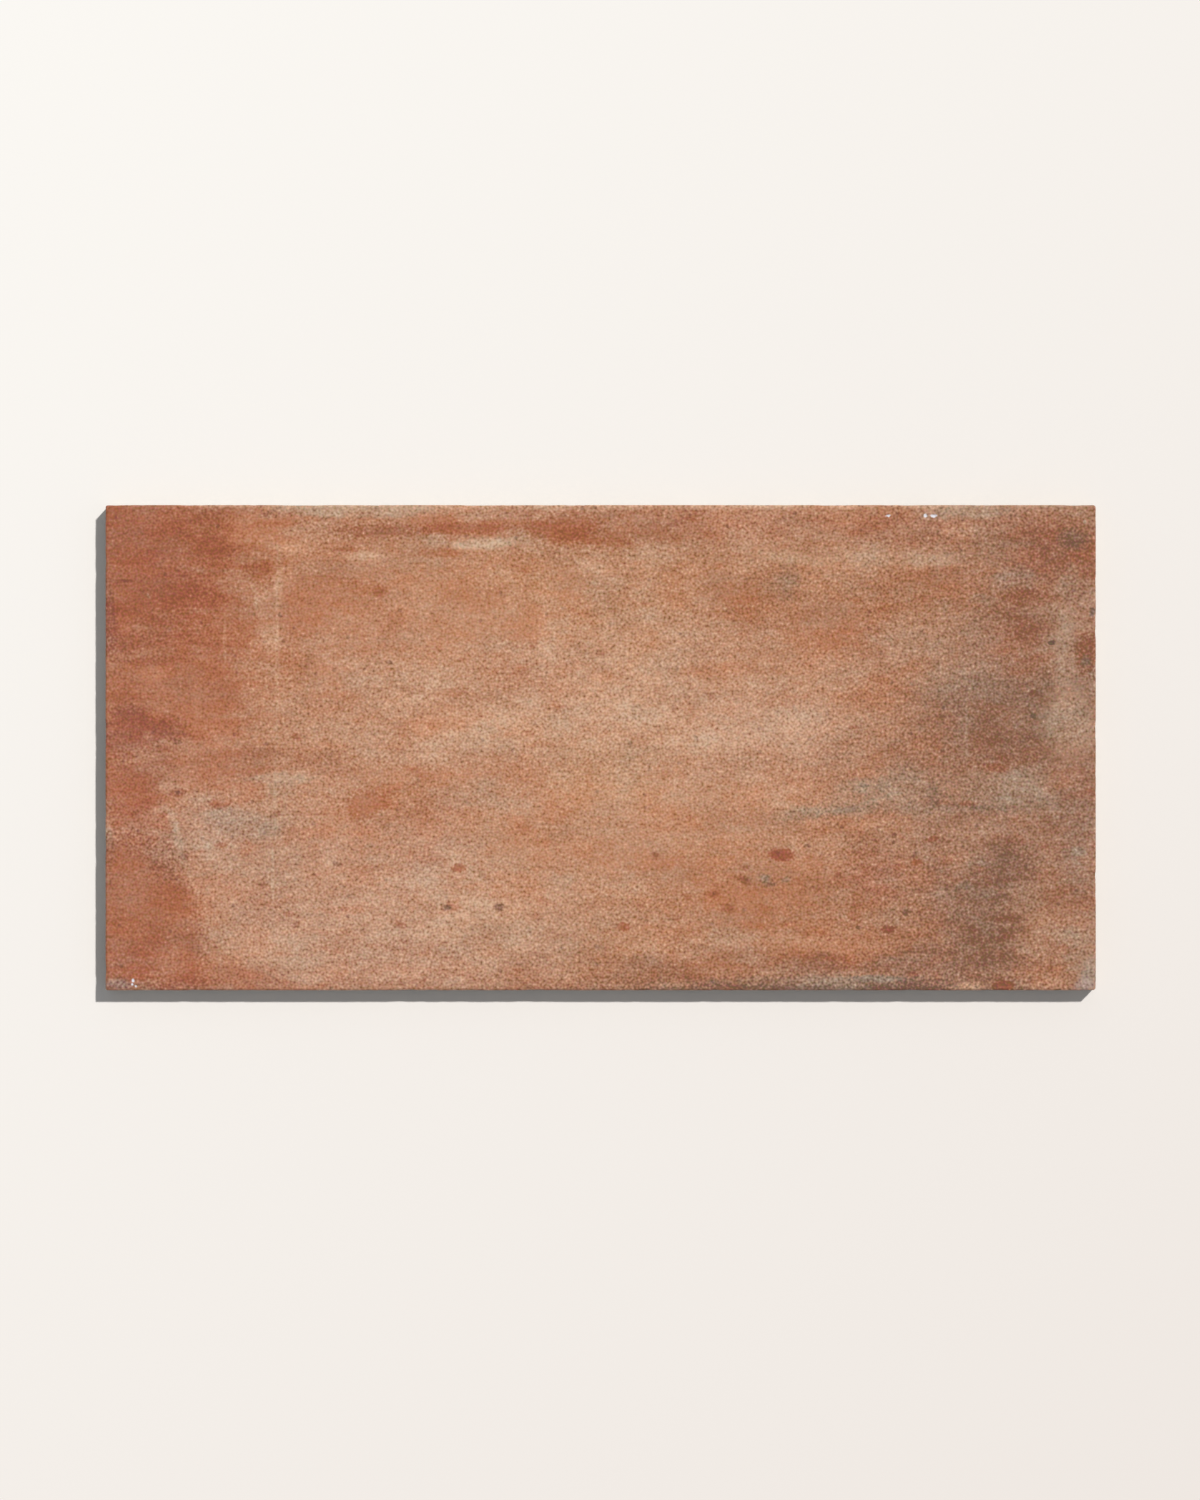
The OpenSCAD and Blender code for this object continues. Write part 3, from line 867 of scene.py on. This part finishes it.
def burnt_grains(tree, place):
    """Mask of small dark grains strewn thinly over the face."""
    scaled = add(tree, "Mapping", {"Vector": place, "Scale": [1 / BURNT_SPACING] * 3}).outputs[0]
    cells = add(tree, "TexVoronoi", {"Vector": scaled, "Scale": 1.0})
    kept = smooth_step(tree, part_of(tree, cells.outputs["Color"], "X"), 0.58, 0.62)
    return calc(tree, "MULTIPLY", smooth_step(tree, cells.outputs["Distance"], 0.17, 0.07), kept)


def flake_mask(tree, place, speckle):
    """Mask of the flakes, where the white clay shows, with ragged edges."""
    whole = None
    for x, y, half_length, half_width, _ in CHIPS:
        flake = ball(tree, place, x, y, half_length, half_width)
        whole = flake if whole is None else calc(tree, "MAXIMUM", whole, flake)
    ragged = calc(tree, "MULTIPLY_ADD", speckle, 1.2, whole)
    return calc(tree, "MULTIPLY", smooth_step(tree, ragged, 0.0, 0.8), smooth_step(tree, whole, 0.0, 0.3))


# ---------------------------------------------------------------- materials


# The clay's colours from its darkest to its palest, where it burnt red and where it smoked grey
RED_CLAY = [
    (0.0, shade(137, 73, 48)),
    (0.25, shade(164, 95, 63)),
    (0.5, shade(187, 122, 88)),
    (0.75, shade(209, 148, 112)),
    (1.0, shade(232, 174, 135)),
]
SMOKED_CLAY = [
    (0.0, shade(106, 77, 63)),
    (0.25, shade(130, 105, 88)),
    (0.5, shade(153, 131, 112)),
    (0.75, shade(176, 157, 135)),
    (1.0, shade(199, 183, 158)),
]
# The steps paler, redder and yellower that the plain ground has before its marks
GROUND = (5, 2, 0.5, 1)
# Steps from the middle of those colours to either end, and those at which clay is wholly red or smoked
PALE_LIMIT = 80
RED_SIDE, GREY_SIDE = 14, -26
# What one step yellower adds to a colour
YELLOW_STEP = (-0.0013, 0.0028, -0.0017)
WHITE_CLAY = shade(224, 222, 228)
BARE_CLAY = [(0.0, shade(128, 118, 106)), (0.5, shade(152, 143, 131)), (1.0, shade(174, 166, 154))]


def grain_steps(tree, redder, drift, streak, speckle, clump):
    """How many steps the grain makes the face paler. It is coarser where the clay is smoked."""
    smoked = smooth_step(tree, redder, 2.0, -12.0)
    squared = calc(tree, "MULTIPLY", speckle, speckle)
    gain = calc(tree, "MULTIPLY_ADD", squared, 6.0, 0.85)
    crisp = calc(tree, "MULTIPLY_ADD", speckle, gain, calc(tree, "MULTIPLY", squared, -0.5))
    clumps = calc(tree, "MULTIPLY", clump, calc(tree, "MULTIPLY_ADD", smoked, 30.0, 30.0))
    return add_up(tree, clumps, ((crisp, 134.0), (drift, 112.0), (streak, 26.0)))


def fired_colour(tree, paler, redder, yellower):
    """The colour that a number of steps paler, redder and yellower stands for."""
    tone = span(tree, paler, -PALE_LIMIT, PALE_LIMIT)
    burn = span(tree, redder, GREY_SIDE, RED_SIDE)
    colour = mix(tree, burn, ramp(tree, tone, SMOKED_CLAY), ramp(tree, tone, RED_CLAY))
    shift = add(tree, "VectorMath", {0: YELLOW_STEP, "Scale": yellower}, operation="SCALE").outputs[0]
    return vector_calc(tree, "ADD", colour, shift)


def face_glaze(tree, place):
    """Colour of the fired face, the mask of its flakes, and its height. The place is in millimetres."""
    drift, drift_push = grains(tree, place, (19, 11, 19), detail=3, roughness=0.75)
    streak, streak_push = grains(tree, place, (12, 2.8, 12), detail=1, roughness=0.6)
    speckle, flecks = grains(tree, place, (0.76, 0.76, 0.76), detail=0)
    clump, nudge = grains(tree, place, (1.8, 1.7, 1.8), detail=1)

    # Clouds are pushed about most and specks least, and streaks are torn most
    loose = pushed_about(tree, place, drift_push, (22, 14, 0))
    loose = pushed_about(tree, loose, streak_push, (5, 1.6, 0))
    close = pushed_about(tree, place, nudge, (2.4, 1.4, 0))
    tight = pushed_about(tree, place, nudge, (1.0, 0.6, 0))
    torn = calc(tree, "MULTIPLY_ADD", streak, 0.8, calc(tree, "MULTIPLY", speckle, 0.8))
    faded = calc(tree, "MULTIPLY_ADD", streak, 0.4, calc(tree, "MULTIPLY", speckle, 0.25))
    group = mark_group()
    shades = GROUND
    for marks, spot, fray, most_fray in (
        (CLOUDS, loose, faded, 0.33),
        (PATCHES, close, calc(tree, "MULTIPLY", speckle, 0.12), 0.06),
        (FRINGE, close, torn, 0.8),
        (STREAKS, close, torn, 0.8),
        (SPECKS, tight, calc(tree, "MULTIPLY", speckle, 0.5), 0.25),
    ):
        # One Mapping makes a point of the place for all the marks of a list
        spot = add(tree, "Mapping", {"Vector": spot}).outputs[0]
        shades = lay_marks(tree, group, spot, fray, most_fray, shades, marks)
    paler, redder, yellower = add(tree, "SeparateColor", {0: shades}).outputs

    # The grain is fainter where the clay burnt red. The rounded edge is painted paler: partly thin worn
    # glaze, partly painted light that lifts the shade where the edge turns away from the key
    strength = span(tree, redder, 8.0, 2.0, 0.7, 1.1)
    edge_light_and_wear = smooth_step(tree, part_of(tree, place, "Z"), FACE_HEIGHT - 0.2, FACE_HEIGHT - 0.5)
    burnt = burnt_grains(tree, place)
    grain = grain_steps(tree, redder, drift, streak, speckle, clump)
    paler = add_up(tree, paler, ((grain, strength), (edge_light_and_wear, 18.0), (burnt, -34.0)))
    redder_layers = (
        (centred(tree, drift_push, "Y"), 30.0),
        (centred(tree, nudge, "Z"), 16.0),
        (centred(tree, flecks, "Y"), 10.0),
        (drift, -20.0),
        (streak, -8.0),
        (burnt, -7.0),
    )
    redder = add_up(tree, redder, redder_layers)
    yellower = add_up(tree, yellower, ((centred(tree, flecks, "Z"), 16.0), (speckle, -12.0), (drift, -4.0)))
    return fired_colour(tree, paler, redder, yellower), flake_mask(tree, place, speckle), speckle


def bare_clay(tree, place):
    """Colour and height of the unglazed sides and back. The place is in millimetres."""
    cloudy, _ = grains(tree, place, (18, 18, 6), detail=4, roughness=0.6)
    fine, _ = grains(tree, place, (0.7, 0.7, 0.7), detail=2, roughness=0.7)
    drag, _ = grains(tree, place, (0.9, 0.9, 9), detail=2)
    clay = ramp(tree, add_up(tree, 0.5, ((fine, 0.9), (cloudy, 1.4))), BARE_CLAY)
    height = calc(tree, "MULTIPLY_ADD", fine, 1.0, calc(tree, "MULTIPLY", drag, 0.8))
    return clay, height


def porcelain():
    """The fired tile: marked glaze on the face and over its edges, bare clay below."""
    material = bpy.data.materials.new("fired porcelain")
    material.use_nodes = True
    tree = material.node_tree
    tree.nodes.clear()
    object_place = add(tree, "TexCoord").outputs["Object"]
    place = add(tree, "Mapping", {"Vector": object_place, "Scale": (1 / MM, 1 / MM, 1 / MM)}).outputs[0]
    glaze, flaked, glaze_height = face_glaze(tree, place)
    clay, clay_height = bare_clay(tree, place)

    # The glaze runs a little way down the sides and ends in an uneven line
    run, _ = grains(tree, place, (9, 9, 9), detail=3, roughness=0.6)
    level = calc(tree, "MULTIPLY_ADD", run, 1.8, part_of(tree, place, "Z"))
    glazed = smooth_step(tree, level, FACE_HEIGHT - 1.5, FACE_HEIGHT - 1.0)
    colour = mix(tree, glazed, clay, mix(tree, flaked, glaze, WHITE_CLAY))
    height = add(tree, "Mix", {0: glazed, 2: clay_height, 3: glaze_height}, data_type="FLOAT").outputs[0]
    bump = add(tree, "Bump", {"Height": height, "Distance": GRAIN_DEPTH, "Strength": 1.0})
    skin = add(
        tree,
        "BsdfPrincipled",
        {
            "Base Color": colour,
            "Roughness": span(tree, glaze_height, -0.3, 0.3, 0.72, 0.88),
            "Normal": bump.outputs[0],
            "Specular IOR Level": 0.3,
        },
    )
    add(tree, "OutputMaterial", {"Surface": skin.outputs[0]})
    return material


# ---------------------------------------------------------------- the studio

# Daylight splits into a soft key from the back right and an even, slightly cool fill
FILL = (0.262, 0.272, 0.286)
KEY = (0.738, 0.728, 0.714)
KEY_SPREAD = math.radians(2.5)
# Where the key's shadow of the face ends on the floor: this far to the left and to the front
SHADOW_RUN = Vector((3.8, 4.1, 0)) * MM
# The floor's paper darkens from one corner to the other, over this length in metres
PAPER_LIGHT = shade(251, 248, 243)
PAPER_MIDDLE = shade(245, 240, 235)
PAPER_DARK = shade(239, 232, 226)
PAPER_TURN = math.radians(-50)
PAPER_FADE = 0.58
# Half the floor's width in metres
FLOOR_REACH = 12
# The lens and its sensor in mm, the height of what it takes in, where it aims, and how far it sees
LENS, SENSOR = 200, 36
VIEW_HEIGHT = 454.3 * MM
AIM = Vector((-0.2, -0.7, 0)) * MM
SIGHT = 20


def pale_paper():
    """Matt paper, a little darker towards the front right."""
    material = bpy.data.materials.new("pale paper")
    material.use_nodes = True
    tree = material.node_tree
    tree.nodes.clear()
    place = add(tree, "TexCoord").outputs["Object"]
    turned = {"Vector": place, "Rotation": (0, 0, PAPER_TURN), "Scale": [PAPER_FADE] * 3}
    across = part_of(tree, add(tree, "Mapping", turned, vector_type="TEXTURE").outputs[0], "X")
    colour = ramp(tree, calc(tree, "ADD", across, 0.5), [(0.0, PAPER_LIGHT), (1.0, PAPER_DARK)])
    skin = add(tree, "BsdfPrincipled", {"Base Color": colour, "Roughness": 0.9, "Specular IOR Level": 0.0})
    add(tree, "OutputMaterial", {"Surface": skin.outputs[0]})
    return material


def studio_floor():
    """A wide sheet of the paper, level with the tile's back."""
    bm = bmesh.new()
    bmesh.ops.create_grid(bm, x_segments=1, y_segments=1, size=FLOOR_REACH)
    mesh = bpy.data.meshes.new("floor")
    bm.to_mesh(mesh)
    bm.free()
    mesh.materials.append(pale_paper())
    floor = bpy.data.objects.new("floor", mesh)
    bpy.context.scene.collection.objects.link(floor)


def studio_light():
    """A key light from the back right, and a white room that shows as pale paper."""
    lamp = bpy.data.lights.new("key", "SUN")
    towards = (SHADOW_RUN + Vector((0, 0, THICKNESS))).normalized()
    lamp.color = [part / max(KEY) for part in KEY]
    lamp.energy = max(KEY) * math.pi / towards.z
    lamp.angle = KEY_SPREAD
    key = bpy.data.objects.new("key", lamp)
    key.rotation_euler = towards.to_track_quat("Z", "Y").to_euler()
    bpy.context.scene.collection.objects.link(key)

    world = bpy.data.worlds.new("studio")
    bpy.context.scene.world = world
    world.use_nodes = True
    tree = world.node_tree
    tree.nodes.clear()
    path = add(tree, "LightPath").outputs
    seen = calc(tree, "MAXIMUM", path["Is Camera Ray"], path["Is Glossy Ray"])
    seen = calc(tree, "MAXIMUM", seen, path["Is Transmission Ray"])
    fill = add(tree, "Background", {"Color": (*FILL, 1), "Strength": 1.0})
    room = add(tree, "Background", {"Color": PAPER_MIDDLE, "Strength": 1.0})
    both = add(tree, "MixShader", {0: seen, 1: fill.outputs[0], 2: room.outputs[0]})
    add(tree, "OutputWorld", {"Surface": both.outputs[0]})


def studio_camera():
    """A long lens looking straight down at the face."""
    lens = bpy.data.cameras.new("camera")
    lens.lens = LENS
    lens.sensor_width = SENSOR
    lens.clip_end = SIGHT
    camera = bpy.data.objects.new("camera", lens)
    camera.location = AIM + Vector((0, 0, THICKNESS + VIEW_HEIGHT * LENS / SENSOR))
    bpy.context.scene.collection.objects.link(camera)
    bpy.context.scene.camera = camera


tile = build_tile()
tile.data.materials.append(porcelain())
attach(tile, "root")
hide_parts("tile")
studio_floor()
studio_light()
studio_camera()
bpy.context.scene.view_settings.view_transform = "Standard"
